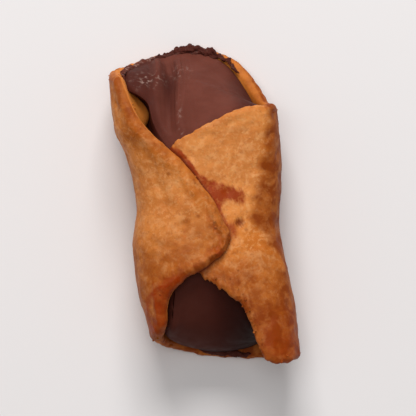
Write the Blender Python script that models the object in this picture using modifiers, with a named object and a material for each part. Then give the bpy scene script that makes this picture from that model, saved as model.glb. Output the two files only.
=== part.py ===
"""A small Sicilian cannolo, lying on its back with the seam up.

It is two pieces: a sheet of fried dough, rolled round a tube so that its left flap
laps over its right one, and the cocoa cream that fills the roll from end to end.

The frame is in metres. +Y runs along the roll, +Z is up, and the origin is under the
middle of the object, on the surface it lies on. A place on the dough is given by its
turn, in degrees round the roll, and its distance along the roll. Turn 0 is underneath,
90 the right side and 180 the top. The left flap's turns are negative.
"""

import bisect
import math

import bmesh
import bpy
import numpy as np
from mathutils import Vector

MM = 0.001

# The dough's wall, and the air that two pieces or two layers keep between them.
WALL = 2.8 * MM
LAYER_GAP = 0.35 * MM
CREAM_GAP = 0.6 * MM

# The roll's outside, in mm: how far along, its left side, its right side and its top.
STATIONS = (
    (-34.0, -15.2, 17.2, 29.0),
    (-26.0, -15.8, 17.4, 28.8),
    (-18.0, -17.1, 17.0, 28.2),
    (-8.0, -16.8, 16.4, 27.0),
    (2.0, -14.6, 18.3, 26.8),
    (12.0, -15.4, 19.4, 28.0),
    (20.0, -17.3, 19.6, 29.2),
    (34.0, -16.8, 19.4, 29.6),
)
# How boxy its section is, where 2 is an ellipse, and how deep the flat spot is cut.
SQUARENESS = 2.35
SINK = 0.6 * MM

# The middle of the box that the cannolo fills, across and along the roll.
CENTRE = (1.165 * MM, -1.36 * MM)

# The ridge that the right side bends over: its turn, width and height.
RIDGE_TURN = 124.0
RIDGE_WIDTH = 20.0
RIDGE_HEIGHT = 1.1 * MM

# The sheet's two long edges, from the left flap's tip round the back to the right one's:
# turn in degrees and distance along in mm.
TOP_EDGE = (
    (-198.5, -7.1),
    (-194.0, -5.0),
    (-186.5, -1.5),
    (-176.0, 3.5),
    (-162.0, 10.3),
    (-150.0, 15.4),
    (-143.0, 19.2),
    (-137.0, 22.8),
    (-131.0, 27.0),
    (-123.0, 30.6),
    (-95.0, 32.0),
    (-60.0, 33.2),
    (-28.0, 34.8),
    (5.0, 35.5),
    (33.0, 32.4),
    (47.0, 28.4),
    (58.0, 23.8),
    (70.0, 20.8),
    (92.0, 19.6),
    (120.0, 20.0),
    (140.0, 20.0),
    (156.0, 18.9),
    (184.0, 16.1),
    (204.0, 13.7),
    (232.0, 4.5),
)
BOTTOM_EDGE = (
    (-198.5, -8.9),
    (-193.0, -11.4),
    (-183.0, -13.4),
    (-169.0, -15.4),
    (-160.0, -16.6),
    (-149.0, -19.1),
    (-140.5, -22.6),
    (-134.0, -26.4),
    (-124.0, -28.7),
    (-105.0, -29.4),
    (-80.0, -30.2),
    (-50.0, -32.2),
    (-16.0, -35.2),
    (39.0, -37.4),
    (100.0, -37.7),
    (138.0, -38.1),
    (146.0, -36.7),
    (152.5, -32.8),
    (155.5, -28.5),
    (162.0, -23.3),
    (175.0, -19.5),
    (190.5, -15.8),
    (215.0, -8.0),
    (232.0, -1.0),
)
LEFT_TIP = TOP_EDGE[0][0]
RIGHT_TIP = TOP_EDGE[-1][0]

# Where the left flap climbs onto the right one.
CLIMB_FROM = -92.0
CLIMB_TO = -138.0

# Both flaps are pressed thin where they lap: from and to what turn, and by what share.
LEFT_PRESSED = (-150.0, -200.0)
RIGHT_PRESSED = (120.0, 168.0)
PRESSED_SHARE = 0.42

# The cage of the dough: columns round the roll and rows along it, and how much closer
# the columns stand near the two tips, where the sheet narrows fast.
DOUGH_COLUMNS = 34
DOUGH_ROWS = 11
TIP_CROWDING = 0.075

# The cream: how deep it lies in each end and how far it bulges there.
TOP_RECESS = 0.6 * MM
BOTTOM_RECESS = 1.3 * MM
TOP_BULGE = 2.4 * MM
BOTTOM_BULGE = 3.0 * MM

# The hollow between the cream and the left wall at the top end: where round the roll,
# how wide in turns, how deep, and between which places along it opens.
HOLLOW_TURN = -106.0
HOLLOW_WIDTH = 34.0
HOLLOW_DEPTH = 3.6 * MM
HOLLOW_FROM = 8.0 * MM
HOLLOW_TO = 20.0 * MM

# The corner at the bottom end that the cream doesn't fill.
CORNER_TURN = 85.0
CORNER_WIDTH = 55.0
CORNER_DEPTH = 5.0 * MM

# The cage of the cream, and how many waves of the opening's edge its ends follow.
CREAM_SEGMENTS = 26
CREAM_END_RINGS = 4
CREAM_SIDE_RINGS = 5
CREAM_RINGS = 2 * CREAM_END_RINGS + CREAM_SIDE_RINGS
EDGE_WAVES = 6
EDGE_SAMPLES = 180

# The block that cuts the flat spot.
CUTTER_SIZE = (80 * MM, 120 * MM, 10 * MM)

COLLECTION = "cannolo"


def hermite(points, at, column=1):
    """A smooth curve through points, read at one place, with no swing past its points."""
    places = [point[0] for point in points]
    values = [point[column] for point in points]
    at = min(max(at, places[0]), places[-1])
    right = min(max(bisect.bisect_right(places, at), 1), len(places) - 1)
    left = right - 1

    def slope(i):
        if i in (0, len(places) - 1):
            near = 1 if i == 0 else i
            return (values[near] - values[near - 1]) / (places[near] - places[near - 1])
        before = (values[i] - values[i - 1]) / (places[i] - places[i - 1])
        after = (values[i + 1] - values[i]) / (places[i + 1] - places[i])
        return 0.0 if before * after <= 0 else 2 * before * after / (before + after)

    span = places[right] - places[left]
    t = (at - places[left]) / span
    return (
        (1 + 2 * t) * (1 - t) ** 2 * values[left]
        + t * (1 - t) ** 2 * span * slope(left)
        + t * t * (3 - 2 * t) * values[right]
        + t * t * (t - 1) * span * slope(right)
    )


def smooth_step(value, start, end):
    t = min(max((value - start) / (end - start), 0.0), 1.0)
    return t * t * (3 - 2 * t)


def bell(value, centre, width):
    return math.exp(-(((value - centre) / width) ** 2))


def section(along):
    """The roll's middle, half width and half height at a distance along it, in metres."""
    at = along / MM
    left, right, top = (hermite(STATIONS, at, k) * MM for k in (1, 2, 3))
    return (left + right) / 2, (right - left) / 2, top / 2


def placed(side, along, up):
    """A point from the roll's own middle line and floor, put where the cannolo lies."""
    return Vector((side - CENTRE[0], along - CENTRE[1], up - SINK))


def on_roll(turn, along, depth):
    """The point that lies depth below the roll's outside."""
    middle, half_width, half_height = section(along)
    angle = math.radians(turn)
    side, up = math.sin(angle), -math.cos(angle)
    reach = (abs(side) ** SQUARENESS + abs(up) ** SQUARENESS) ** (-1 / SQUARENESS)
    depth -= RIDGE_HEIGHT * bell(turn, RIDGE_TURN, RIDGE_WIDTH)
    return placed(
        middle + (half_width - depth) * reach * side,
        along,
        half_height + (half_height - depth) * reach * up,
    )


def thickness_share(turn):
    """The wall's share of its full thickness, which falls towards both flaps' tips."""
    pressed = smooth_step(-turn, -LEFT_PRESSED[0], -LEFT_PRESSED[1])
    pressed += smooth_step(turn, *RIGHT_PRESSED)
    return 1 - PRESSED_SHARE * pressed


def dough_point(turn, across):
    """A point of the sheet's middle surface. across runs from its bottom edge to its top edge."""
    low = hermite(BOTTOM_EDGE, turn) * MM
    high = hermite(TOP_EDGE, turn) * MM
    half = WALL * thickness_share(turn) / 2
    nested = WALL - half
    below = WALL * (1 - thickness_share(turn + 360))
    lapped = below - LAYER_GAP - half
    climb = smooth_step(-turn, -CLIMB_FROM, -CLIMB_TO)
    return on_roll(turn, low + (high - low) * across, nested + (lapped - nested) * climb)


def tip_crowded(share):
    return share - TIP_CROWDING * math.sin(2 * math.pi * share)


def opening_edges(turn):
    """How far along the two openings' edges lie, on the outermost layer at a turn."""
    layers = [t for t in (turn - 360, turn, turn + 360) if LEFT_TIP <= t <= RIGHT_TIP]
    tops = [hermite(TOP_EDGE, layer) * MM for layer in layers]
    bottoms = [hermite(BOTTOM_EDGE, layer) * MM for layer in layers]
    return max(tops), min(bottoms)


class EndSurface:
    """The cream's free surface in an opening, stretched over the opening's edge like a film.

    Each wave of the edge dies out towards the middle by its own power of the radius.
    """

    def __init__(self, edge, bulge):
        self.waves = np.fft.rfft(edge)[: EDGE_WAVES + 1] / len(edge)
        self.bulge = bulge

    def along(self, radius, turn):
        total = self.waves[0].real + self.bulge * (1 - radius * radius)
        for k in range(1, len(self.waves)):
            angle = k * math.radians(turn)
            wave = self.waves[k] * complex(math.cos(angle), math.sin(angle))
            total += 2 * wave.real * radius**k
        return total


def cream_ends():
    """The cream's surfaces in the top and bottom openings."""
    tops, bottoms = [], []
    for i in range(EDGE_SAMPLES):
        turn = (360 * i / EDGE_SAMPLES + 180) % 360 - 180
        high, low = opening_edges(turn)
        corner = CORNER_DEPTH * bell(turn, CORNER_TURN, CORNER_WIDTH)
        tops.append(high - TOP_RECESS)
        bottoms.append(low + BOTTOM_RECESS + corner)
    return EndSurface(tops, TOP_BULGE), EndSurface(bottoms, -BOTTOM_BULGE)


def cream_side(turn, along):
    """A point of the cream's side, which keeps off the wall and further off at the hollow."""
    hollow = HOLLOW_DEPTH * bell(turn, HOLLOW_TURN, HOLLOW_WIDTH)
    hollow *= smooth_step(along, HOLLOW_FROM, HOLLOW_TO)
    return on_roll(turn, along, WALL + CREAM_GAP + hollow)


def cream_point(turn, ring, top, bottom):
    """A point of the cream. Its rings run from the top end's middle to the bottom end's."""
    high, low = top.along(1.0, turn), bottom.along(1.0, turn)
    if CREAM_END_RINGS < ring < CREAM_RINGS - CREAM_END_RINGS:
        share = (ring - CREAM_END_RINGS) / CREAM_SIDE_RINGS
        return cream_side(turn, high + (low - high) * share)
    end = top if ring <= CREAM_END_RINGS else bottom
    radius = min(ring, CREAM_RINGS - ring) / CREAM_END_RINGS
    along = end.along(radius, turn)
    middle, _, half_height = section(along)
    return placed(middle, along, half_height).lerp(cream_side(turn, along), radius)


def new_material(name, colour, roughness):
    material = bpy.data.materials.new(name)
    material.use_nodes = True
    shader = material.node_tree.nodes["Principled BSDF"]
    shader.inputs["Base Color"].default_value = (*colour, 1.0)
    shader.inputs["Roughness"].default_value = roughness
    return material


def new_piece(name, mesh, material, collection):
    piece = bpy.data.objects.new(name, mesh)
    piece.data.materials.append(material)
    collection.objects.link(piece)
    piece.data.shade_smooth()
    return piece


def add_rounding(piece):
    rounding = piece.modifiers.new("rounding", "SUBSURF")
    rounding.levels = rounding.render_levels = 1


def make_dough(collection):
    """The dough, as a flat grid that is rolled up, thickened and rounded."""
    sheet = bmesh.new()
    bmesh.ops.create_grid(sheet, x_segments=DOUGH_COLUMNS, y_segments=DOUGH_ROWS, size=0.5)
    turns = {}
    for vertex in sheet.verts:
        column = tip_crowded(vertex.co.x + 0.5)
        turns[vertex.index] = LEFT_TIP + (RIGHT_TIP - LEFT_TIP) * column
        vertex.co = dough_point(turns[vertex.index], vertex.co.y + 0.5)
    mesh = bpy.data.meshes.new("pastry_shell")
    sheet.to_mesh(mesh)
    sheet.free()

    material = new_material("fried_dough", (0.52, 0.20, 0.065), 0.6)
    shell = new_piece("pastry_shell", mesh, material, collection)
    thickness = shell.vertex_groups.new(name="thickness")
    for index, turn in turns.items():
        thickness.add([index], thickness_share(turn), "REPLACE")

    wall = shell.modifiers.new("wall", "SOLIDIFY")
    wall.thickness = WALL
    wall.offset = 0.0
    wall.vertex_group = thickness.name
    wall.use_even_offset = True

    add_rounding(shell)
    return shell


def make_cream(collection):
    """The cream, as a sphere pressed out into the roll and rounded."""
    top, bottom = cream_ends()
    body = bmesh.new()
    bmesh.ops.create_uvsphere(
        body, u_segments=CREAM_SEGMENTS, v_segments=CREAM_RINGS, radius=1.0
    )
    for vertex in body.verts:
        polar = math.acos(min(max(vertex.co.z, -1.0), 1.0))
        turn = math.degrees(math.atan2(vertex.co.x, vertex.co.y))
        vertex.co = cream_point(turn, round(polar / math.pi * CREAM_RINGS), top, bottom)
    mesh = bpy.data.meshes.new("cocoa_cream")
    body.to_mesh(mesh)
    body.free()

    material = new_material("cocoa_cream", (0.10, 0.032, 0.022), 0.4)
    cream = new_piece("cocoa_cream", mesh, material, collection)
    add_rounding(cream)
    return cream


def cut_flat(piece, cutter):
    cut = piece.modifiers.new("flat", "BOOLEAN")
    cut.operation = "DIFFERENCE"
    cut.solver = "EXACT"
    cut.object = cutter


def make_floor_cutter(collection):
    """A block under the surface that the cannolo lies on."""
    block = bmesh.new()
    bmesh.ops.create_cube(block, size=1.0)
    for vertex in block.verts:
        vertex.co.z -= 0.5
        vertex.co *= Vector(CUTTER_SIZE)
    mesh = bpy.data.meshes.new("floor_cutter")
    block.to_mesh(mesh)
    block.free()
    cutter = bpy.data.objects.new("floor_cutter", mesh)
    cutter.hide_render = True
    cutter.display_type = "WIRE"
    collection.objects.link(cutter)
    return cutter


def main():
    for thing in list(bpy.data.objects):
        bpy.data.objects.remove(thing)
    cannolo = bpy.data.collections.new(COLLECTION)
    cutters = bpy.data.collections.new("cutters")
    for collection in (cannolo, cutters):
        bpy.context.scene.collection.children.link(collection)
    shell = make_dough(cannolo)
    make_cream(cannolo)
    cut_flat(shell, make_floor_cutter(cutters))


main()
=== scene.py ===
"""The looks of a small cannolo: a lapped roll of fried dough, filled with cocoa cream.

A place on the dough is given by its turn, in degrees round the roll, and its distance
along the roll in millimetres. Turn 0 is underneath, 90 the right side and 180 the top,
and the left flap's turns are negative. The roll's own middle line and floor are put
where the frame has them by Roll.place.
"""

import logging
import math
from dataclasses import asdict, dataclass, field, fields
from enum import Enum

import bpy
import numpy as np
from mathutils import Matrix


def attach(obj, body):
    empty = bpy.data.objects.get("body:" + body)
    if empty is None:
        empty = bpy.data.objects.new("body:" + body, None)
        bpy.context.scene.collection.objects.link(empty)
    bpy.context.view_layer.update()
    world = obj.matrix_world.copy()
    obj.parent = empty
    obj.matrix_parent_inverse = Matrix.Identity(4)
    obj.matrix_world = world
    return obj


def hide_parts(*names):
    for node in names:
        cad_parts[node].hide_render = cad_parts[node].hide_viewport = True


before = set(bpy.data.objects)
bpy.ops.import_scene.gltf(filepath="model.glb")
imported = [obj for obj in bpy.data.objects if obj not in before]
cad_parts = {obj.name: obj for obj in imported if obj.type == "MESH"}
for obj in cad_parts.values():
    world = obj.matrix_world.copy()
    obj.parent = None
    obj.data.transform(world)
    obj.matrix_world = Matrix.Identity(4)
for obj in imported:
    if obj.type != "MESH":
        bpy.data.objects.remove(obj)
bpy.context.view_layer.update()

LOG = logging.getLogger("cannolo")
MM = 0.001
BODY = "root"

Array = np.ndarray
Piece = bpy.types.Object
Mesh = bpy.types.Mesh
Material = bpy.types.Material
NodeTree = bpy.types.NodeTree
Node = bpy.types.Node
Socket = bpy.types.NodeSocket
Sockets = bpy.types.bpy_prop_collection
Points = tuple[tuple[float, ...], ...]
Colour = tuple[float, float, float]


class End(Enum):
    """The roll's two ends, by the sign of the way out along +Y."""

    TOP = 1
    BOTTOM = -1


class Slot(Enum):
    """The pieces' material slots."""

    DOUGH = "fried_dough"
    CREAM = "cocoa_cream"


def curve(points: Points, at: Array, column: int = 1) -> Array:
    """A smooth curve through points, with no swing past its points.

    Args:
        points: Rows of a place and its values, in rising order of place.
        at: The places to read, held inside the curve's own range.
        column: Which of each row's values to read.

    Returns:
        The curve's value at each place.
    """
    places = np.array([point[0] for point in points], float)
    values = np.array([point[column] for point in points], float)
    at = np.clip(at, places[0], places[-1])
    right = np.clip(np.searchsorted(places, at, side="right"), 1, len(places) - 1)
    left = right - 1
    steep = np.diff(values) / np.diff(places)
    product = steep[:-1] * steep[1:]
    total = np.where(product > 0, steep[:-1] + steep[1:], 1.0)
    inner = np.where(product > 0, 2 * product / total, 0.0)
    slopes = np.concatenate([steep[:1], inner, steep[-1:]])
    span = places[right] - places[left]
    t = (at - places[left]) / span
    return (
        (1 + 2 * t) * (1 - t) ** 2 * values[left]
        + t * (1 - t) ** 2 * span * slopes[left]
        + t * t * (3 - 2 * t) * values[right]
        + t * t * (t - 1) * span * slopes[right]
    )


def smooth_step(value: Array, start: float, end: float) -> Array:
    """An S-shaped rise from 0 at start to 1 at end, where start may be the larger."""
    t = np.clip((value - start) / (end - start), 0.0, 1.0)
    return t * t * (3 - 2 * t)


def hump(value: Array, centre: float, width: float) -> Array:
    """A bell of height 1 round centre."""
    return np.exp(-(((value - centre) / width) ** 2))


def crowded(count: int, crowding: float) -> Array:
    """Shares from 0 to 1 that stand closer together near both ends."""
    share = np.linspace(0.0, 1.0, count)
    return share - crowding * np.sin(2 * math.pi * share) / (2 * math.pi)


def wander(at: Array, size: float, seed: int) -> Array:
    """A smooth, wandering value between about -1 and 1.

    Args:
        at: Where to read it.
        size: The length over which it changes.
        seed: Which of the many wandering curves to read.

    Returns:
        The value at each place.
    """
    draw = np.random.default_rng(seed)
    total = np.zeros_like(np.asarray(at, float))
    for octave in range(4):
        pace = 2 * math.pi / size * 1.9**octave * draw.uniform(0.8, 1.2)
        total += np.sin(at * pace + draw.uniform(0, 2 * math.pi)) * 0.62**octave
    return total / 1.6


def grid_faces(columns: int, rows: int, index: Array) -> Array:
    """The quads of a grid whose points have the given indices.

    Args:
        columns: How many columns the grid has.
        rows: How many rows it has.
        index: The points' indices, column by column.

    Returns:
        One row of four indices for each quad.
    """
    index = index.reshape(columns, rows)
    corners = (index[:-1, :-1], index[1:, :-1], index[1:, 1:], index[:-1, 1:])
    return np.stack(corners, axis=-1).reshape(-1, 4)


def new_mesh(name: str, points: Array, faces: list, values: dict[str, Array]) -> Mesh:
    """A mesh of points in millimetres, with a float attribute for each named value.

    Args:
        name: The mesh's name.
        points: One row for each point.
        faces: The points of each face.
        values: Attribute names and their value at each point.

    Returns:
        The mesh, in metres and shaded smooth.
    """
    mesh = bpy.data.meshes.new(name)
    mesh.from_pydata((points * MM).tolist(), [], faces)
    for key, value in values.items():
        attribute = mesh.attributes.new(key, "FLOAT", "POINT")
        attribute.data.foreach_set("value", np.ascontiguousarray(value, np.float32))
    mesh.shade_smooth()
    mesh.update()
    return mesh


def closed_sheet(name: str, over: Array, under: Array, values: dict[str, tuple[Array, Array]]) -> Mesh:
    """A closed skin from two grids that share their border.

    Args:
        name: The mesh's name.
        over: The outward grid's points, by column and row.
        under: The inward grid's points. Its border is taken from the outward grid.
        values: Attribute names and their values on both grids.

    Returns:
        The mesh, with faces pointing away from the other grid.
    """
    columns, rows = over.shape[:2]
    inner = np.zeros((columns, rows), bool)
    inner[1:-1, 1:-1] = True
    first = np.arange(columns * rows).reshape(columns, rows)
    second = first.copy()
    second[inner] = columns * rows + np.arange(inner.sum())
    points = np.concatenate([over.reshape(-1, 3), under[inner]])
    joined = {key: np.concatenate([a.ravel(), b[inner]]) for key, (a, b) in values.items()}
    faces = np.concatenate(
        [grid_faces(columns, rows, first), grid_faces(columns, rows, second)[:, ::-1]]
    )
    return new_mesh(name, points, faces.tolist(), joined)


FLOAT = "NodeSocketFloat"
INTEGER = "NodeSocketInt"
VECTOR = "NodeSocketVector"
GEOMETRY = "NodeSocketGeometry"
MATERIAL = "NodeSocketMaterial"


class Tree:
    """A node tree under construction, with short ways to add and join nodes."""

    def __init__(self, tree: NodeTree) -> None:
        """Takes the tree that the nodes go in."""
        self.tree = tree

    def add(self, kind: str, inputs: dict | None = None, **settings: object) -> Node:
        """Adds a node.

        Args:
            kind: The node's type name.
            inputs: Input names or numbers, each with a value or a socket to join to it.
            **settings: The node's own properties.

        Returns:
            The new node.
        """
        node = self.tree.nodes.new(kind)
        for key, value in settings.items():
            setattr(node, key, value)
        for key, value in (inputs or {}).items():
            self.feed(node.inputs[key], value)
        return node

    def feed(self, socket: Socket, value: object) -> None:
        """Joins a socket to an input, or sets the input's value.

        Args:
            socket: The input.
            value: A socket to join to it, or a value.
        """
        if isinstance(value, Socket):
            self.tree.links.new(value, socket)
        else:
            socket.default_value = value

    def math(self, operation: str, first: object, second: object = 0.0, third: object = 0.0) -> Socket:
        """The result of one sum on two or three numbers or sockets.

        Args:
            operation: The sum's name.
            first: Its first number or socket.
            second: Its second, where it takes one.
            third: Its third, where it takes one.

        Returns:
            The result.
        """
        node = self.add("ShaderNodeMath", operation=operation)
        for socket, value in zip(node.inputs, (first, second, third)):
            self.feed(socket, value)
        return node.outputs[0]

    def spread(
        self, value: object, low: float, high: float, to_low: float = 0.0, to_high: float = 1.0
    ) -> Socket:
        """A value stretched from one range onto another, and held inside it."""
        inputs = {0: value, 1: low, 2: high, 3: to_low, 4: to_high}
        return self.add("ShaderNodeMapRange", inputs).outputs[0]

    def scaled(self, vector: Socket, scale: object) -> Socket:
        """A vector times a number."""
        inputs = {0: vector, "Scale": scale}
        return self.add("ShaderNodeVectorMath", inputs, operation="SCALE").outputs[0]

    def noise(
        self, place: Socket, scale: object, detail: float, roughness: object = 0.5, bend: float = 0.0
    ) -> Node:
        """Places a noise texture.

        Args:
            place: Where it is read.
            scale: How many of its lumps fit in a metre.
            detail: How many finer layers it has.
            roughness: How strong the finer layers are.
            bend: How far it is distorted.

        Returns:
            The node.
        """
        inputs = {"Vector": place, "Scale": scale, "Detail": detail, "Roughness": roughness}
        return self.add("ShaderNodeTexNoise", inputs | {"Distortion": bend})

    def dress(self, geometry: Socket, material: Socket, result: Socket) -> None:
        """Ends a geometry tree: makes its instances real and gives them their material.

        Args:
            geometry: What the tree has made.
            material: The material's socket.
            result: The tree's own output.
        """
        whole = self.add("GeometryNodeRealizeInstances", {0: geometry}).outputs[0]
        dressed = self.add("GeometryNodeSetMaterial", {"Geometry": whole, "Material": material})
        self.feed(result, dressed.outputs[0])

    def mix(self, factor: object, first: object, second: object, blend: str = "MIX") -> Socket:
        """Two colours mixed by a factor.

        Args:
            factor: How much of the second colour there is.
            first: The first colour or socket.
            second: The second one.
            blend: How they are mixed.

        Returns:
            The mixed colour.
        """
        node = self.add("ShaderNodeMix", data_type="RGBA", blend_type=blend)
        for index, value in ((0, factor), (6, first), (7, second)):
            if isinstance(value, tuple):
                value = (*value, 1.0)
            self.feed(node.inputs[index], value)
        return node.outputs[2]

    def named(self, name: str) -> Socket:
        """A mesh attribute's number, in a shader or in a geometry tree.

        Args:
            name: The attribute's name.

        Returns:
            Its value.
        """
        if isinstance(self.tree, bpy.types.GeometryNodeTree):
            node = self.add("GeometryNodeInputNamedAttribute", {"Name": name}, data_type="FLOAT")
            return node.outputs["Attribute"]
        return self.add("ShaderNodeAttribute", attribute_name=name).outputs["Fac"]


def new_group(name: str, kind: str, inputs: dict, outputs: dict) -> tuple[Tree, Sockets, Sockets]:
    """A node group with named sockets.

    Args:
        name: The group's name.
        kind: ShaderNodeTree or GeometryNodeTree.
        inputs: Each input's default number or, where it has none, its type.
        outputs: Each output's type.

    Returns:
        The tree, the sockets of its inputs' values and those of its results.
    """
    tree = bpy.data.node_groups.new(name, kind)
    number_types = {float: FLOAT, int: INTEGER}
    for label, value in inputs.items():
        socket_type = number_types.get(type(value), value)
        socket = tree.interface.new_socket(name=label, in_out="INPUT", socket_type=socket_type)
        if type(value) in number_types:
            socket.default_value = value
    for label, socket_type in outputs.items():
        tree.interface.new_socket(name=label, in_out="OUTPUT", socket_type=socket_type)
    build = Tree(tree)
    return build, build.add("NodeGroupInput").outputs, build.add("NodeGroupOutput").inputs


class SharedEffects:
    """The shader groups that more than one finish uses."""

    def __init__(self) -> None:
        """Builds each group once."""
        self.blotches = self.make_blotches()
        self.grain = self.make_grain()
        self.specks = self.make_specks()

    def make_blotches(self) -> NodeTree:
        """Soft uneven patches, as a mask.

        Returns:
            The group.
        """
        inputs = {"Vector": VECTOR, "Size": 5.0, "Roughness": 0.6, "Low": 0.4, "High": 0.6}
        build, given, results = new_group("blotches", "ShaderNodeTree", inputs, {"Mask": FLOAT})
        pace = build.math("DIVIDE", 1 / MM, given["Size"])
        noise = build.noise(given["Vector"], pace, 5.0, given["Roughness"], 0.35)
        values = {0: noise.outputs[0], 1: given["Low"], 2: given["High"]}
        mask = build.add("ShaderNodeMapRange", values, interpolation_type="SMOOTHSTEP")
        build.feed(results["Mask"], mask.outputs[0])
        return build.tree

    def make_grain(self) -> NodeTree:
        """Fine grain on a coarser one, as a height for a bump.

        Returns:
            The group.
        """
        inputs = {"Vector": VECTOR, "Size": 0.4, "Coarse Share": 0.5}
        build, given, results = new_group("grain", "ShaderNodeTree", inputs, {"Height": FLOAT})
        pace = build.math("DIVIDE", 1 / MM, given["Size"])
        fine = build.noise(given["Vector"], pace, 3.0, 0.6).outputs[0]
        coarse = build.noise(given["Vector"], build.math("DIVIDE", pace, 3.5), 3.0, 0.6).outputs[0]
        coarse = build.math("MULTIPLY", coarse, given["Coarse Share"])
        build.feed(results["Height"], build.math("ADD", fine, coarse))
        return build.tree

    def make_specks(self) -> NodeTree:
        """Small separate spots in a share of the cells, as a mask.

        Returns:
            The group.
        """
        inputs = {"Vector": VECTOR, "Size": 1.0, "Share": 0.2, "Width": 0.3}
        build, given, results = new_group("specks", "ShaderNodeTree", inputs, {"Mask": FLOAT})
        pace = build.math("DIVIDE", 1 / MM, given["Size"])
        values = {"Vector": given["Vector"], "Scale": pace, "Randomness": 1.0}
        cells = build.add("ShaderNodeTexVoronoi", values, feature="F1")
        near = build.math("DIVIDE", cells.outputs["Distance"], given["Width"])
        spot = build.spread(build.math("SUBTRACT", 1.0, near), 0.0, 0.7)
        chosen = build.add("ShaderNodeSeparateColor", {0: cells.outputs["Color"]})
        kept = build.math("LESS_THAN", chosen.outputs[0], given["Share"])
        build.feed(results["Mask"], build.math("MULTIPLY", spot, kept))
        return build.tree


class SkinTree(Tree):
    """A material's own tree, where the shared effects follow the piece's own coordinates."""

    def __init__(self, name: str, effects: SharedEffects) -> None:
        """Makes a new material.

        Args:
            name: The material's name.
            effects: The shader groups that it may use.
        """
        self.material = bpy.data.materials.new(name)
        self.material.use_nodes = True
        super().__init__(self.material.node_tree)
        self.effects = effects
        self.shader = self.tree.nodes["Principled BSDF"]
        self.place = self.add("ShaderNodeTexCoord").outputs["Object"]

    def effect(self, group: NodeTree, inputs: dict) -> Socket:
        """The one output of a shared effect, placed with its own values."""
        values = {"Vector": self.place} | inputs
        return self.add("ShaderNodeGroup", values, node_tree=group).outputs[0]

    def blotch(self, size: float, low: float, high: float, roughness: float = 0.6) -> Socket:
        """One layer of uneven patches of about the given size in mm."""
        inputs = {"Size": size, "Low": low, "High": high, "Roughness": roughness}
        return self.effect(self.effects.blotches, inputs)

    def share(self, mask: Socket, share: float) -> Socket:
        """A share of a mask."""
        return self.math("MULTIPLY", mask, share)

    def roughen(self, grain_size: float, coarse_share: float, strength: float, depth: float) -> None:
        """Gives the surface its grain as a bump.

        Args:
            grain_size: The fine grain's size in mm.
            coarse_share: How strong the coarser grain is.
            strength: The bump's strength.
            depth: Its height in mm.
        """
        inputs = {"Size": grain_size, "Coarse Share": coarse_share}
        height = self.effect(self.effects.grain, inputs)
        values = {"Strength": strength, "Distance": depth * MM, "Height": height}
        bump = self.add("ShaderNodeBump", values)
        self.feed(self.shader.inputs["Normal"], bump.outputs["Normal"])


@dataclass(frozen=True)
class DoughFinish:
    """Fried dough: golden faces, toasted edges, a matt ochre inner wall, and painted light and shade."""

    golden: Colour = (0.65, 0.212, 0.038)
    deep_golden: Colour = (0.50, 0.134, 0.014)
    pale: Colour = (0.80, 0.385, 0.145)
    brown: Colour = (0.235, 0.042, 0.002)
    crease_shade_brown: Colour = (0.16, 0.021, 0.002)
    red_brown: Colour = (0.28, 0.028, 0.0)
    ochre: Colour = (0.70, 0.225, 0.036)
    roughness: tuple[float, float] = (0.46, 0.68)
    bump: float = 0.35
    bump_depth: float = 0.25

    def material(self, effects: SharedEffects) -> Material:
        """Builds the material from the sheet's own attributes and the shared effects.

        Args:
            effects: The shader groups.

        Returns:
            The material.
        """
        skin = SkinTree("fried_dough", effects)
        colour = skin.mix(skin.blotch(9.0, 0.36, 0.62), self.deep_golden, self.golden)
        layers = (
            (3.2, 0.52, 0.66, 0.6, self.deep_golden),
            (2.2, 0.48, 0.66, 0.42, self.pale),
            (0.9, 0.48, 0.68, 0.4, self.pale),
            (0.8, 0.54, 0.66, 0.3, self.brown),
        )
        for size, low, high, share, tint in layers:
            colour = skin.mix(skin.share(skin.blotch(size, low, high), share), colour, tint)
        # The inner wall's own ochre, made brighter as painted light so the shaded inner wall at the top
        # left reads lit.
        colour = skin.mix(skin.share(skin.named("inside"), 0.85), colour, self.ochre)
        # Painted light: paler on the right flap's front face; the left flap is also paler on a patch.
        colour = skin.mix(skin.share(skin.named("pale"), 0.2), colour, self.pale)
        # Toasted brown, which also carries painted shade on the right flank and lower end and a painted
        # shadow on the left flap's lower rim.
        uneven = skin.math("MULTIPLY_ADD", skin.blotch(3.0, 0.3, 0.7), 0.6, 0.55)
        toast = skin.math("MULTIPLY", skin.named("toast"), uneven)
        colour = skin.mix(skin.spread(toast, 0.0, 1.0), colour, self.brown)
        # Red-brown glazing, with a painted shadow along the left flap's lower rim.
        glaze = skin.math("MULTIPLY_ADD", skin.blotch(1.8, 0.35, 0.6, 0.7), 0.45, 0.68)
        glaze = skin.math("MULTIPLY", skin.named("glaze"), glaze)
        glaze = skin.spread(glaze, 0.0, 1.0, 0.0, 0.95)
        colour = skin.mix(glaze, colour, self.red_brown)
        speck = skin.effect(effects.specks, {"Size": 2.6, "Share": 0.16, "Width": 0.24})
        colour = skin.mix(skin.share(speck, 0.6), colour, self.brown)
        # Painted shade along the left flap's lapped edge and in the large pore.
        colour = skin.mix(skin.named("crease"), colour, self.crease_shade_brown)
        inputs = skin.shader.inputs
        skin.feed(inputs["Base Color"], colour)

        gloss = skin.spread(skin.blotch(4.0, 0.3, 0.7), 0.0, 1.0, *self.roughness[::-1])
        skin.feed(inputs["Roughness"], skin.math("SUBTRACT", gloss, skin.share(glaze, 0.2)))
        skin.roughen(0.45, 0.9, self.bump, self.bump_depth)
        inputs["Specular IOR Level"].default_value = 0.11
        inputs["Subsurface Weight"].default_value = 0.12
        inputs["Subsurface Scale"].default_value = 1.5 * MM
        inputs["Subsurface Radius"].default_value = (1.0, 0.45, 0.2)
        return skin.material


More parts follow.
